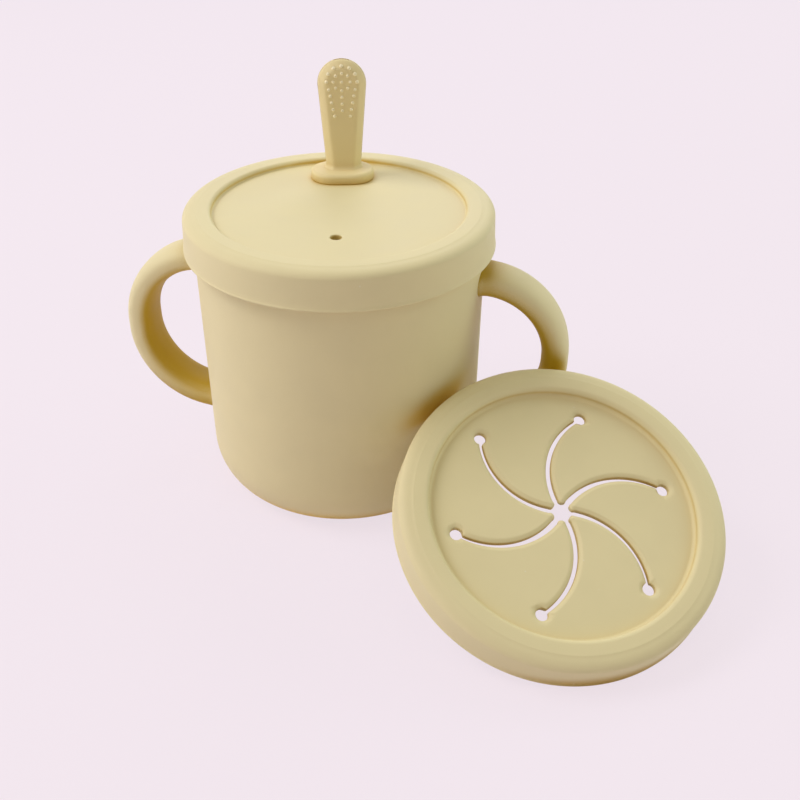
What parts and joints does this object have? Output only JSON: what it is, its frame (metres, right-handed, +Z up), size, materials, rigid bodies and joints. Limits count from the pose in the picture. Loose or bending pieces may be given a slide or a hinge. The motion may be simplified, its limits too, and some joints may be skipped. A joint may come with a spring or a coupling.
{
  "type": "toddler snack cup",
  "caption": "Soft toddler cup with looped side handles, a drinking lid with a paddle straw, and a spare snack lid cut into swirling flaps.",
  "frame": {"origin": "centre of the cup's flat base, on the surface that it stands on", "axes": "+Z up along the cup's axis, X through both handles, the leaning snack lid on the +X, -Y side"},
  "size_m": [0.1812, 0.1357, 0.1201],
  "materials": {
    "silicone": "soft matte moulded silicone, pale cream yellow"
  },
  "bodies": {
    "cup": {"cup_body": "silicone", "handle_left": "silicone", "handle_right": "silicone"},
    "drinking_lid": {"drinking_lid": "silicone"},
    "straw": {"straw": "silicone"},
    "snack_lid": {"snack_lid": "silicone"},
    "flap_1": {"flap_1": "silicone"},
    "flap_2": {"flap_2": "silicone"},
    "flap_3": {"flap_3": "silicone"},
    "flap_4": {"flap_4": "silicone"},
    "flap_5": {"flap_5": "silicone"},
    "flap_6": {"flap_6": "silicone"}
  },
  "joints": [
    {"name": "drinking_lid_lift", "type": "slide", "parent": "cup", "child": "drinking_lid", "axis": [0, 0, 1], "range_m": [0, 0.115]},
    {"name": "straw_pull", "type": "slide", "parent": "drinking_lid", "child": "straw", "axis": [0, 0, 1], "range_m": [0, 0.085]},
    {"name": "snack_lid_away", "type": "slide", "parent": "cup", "child": "snack_lid", "axis": [0.4067, -0.9135, 0], "range_m": [0, 0.08]},
    {"name": "flap_1_bend", "type": "hinge", "parent": "snack_lid", "child": "flap_1", "pos_m": [0.05915, -0.0297, 0.03685], "axis": [0.8967, 0.4422, 0.0191], "range_deg": [-30, 40], "stiffness_Nm_per_rad": 0.006},
    {"name": "flap_2_bend", "type": "hinge", "parent": "snack_lid", "child": "flap_2", "pos_m": [0.08433, -0.03017, 0.03164], "axis": [0.7992, -0.474, -0.3697], "range_deg": [-30, 40], "stiffness_Nm_per_rad": 0.006},
    {"name": "flap_3_bend", "type": "hinge", "parent": "snack_lid", "child": "flap_3", "pos_m": [0.09475, -0.05082, 0.02038], "axis": [-0.0976, -0.9161, -0.3888], "range_deg": [-30, 40], "stiffness_Nm_per_rad": 0.006},
    {"name": "flap_4_bend", "type": "hinge", "parent": "snack_lid", "child": "flap_4", "pos_m": [0.07999, -0.07099, 0.01432], "axis": [-0.8967, -0.4422, -0.0191], "range_deg": [-30, 40], "stiffness_Nm_per_rad": 0.006},
    {"name": "flap_5_bend", "type": "hinge", "parent": "snack_lid", "child": "flap_5", "pos_m": [0.0548, -0.07051, 0.01952], "axis": [-0.7992, 0.474, 0.3697], "range_deg": [-30, 40], "stiffness_Nm_per_rad": 0.006},
    {"name": "flap_6_bend", "type": "hinge", "parent": "snack_lid", "child": "flap_6", "pos_m": [0.04438, -0.04987, 0.03079], "axis": [0.0976, 0.9161, 0.3888], "range_deg": [-30, 40], "stiffness_Nm_per_rad": 0.006}
  ]
}
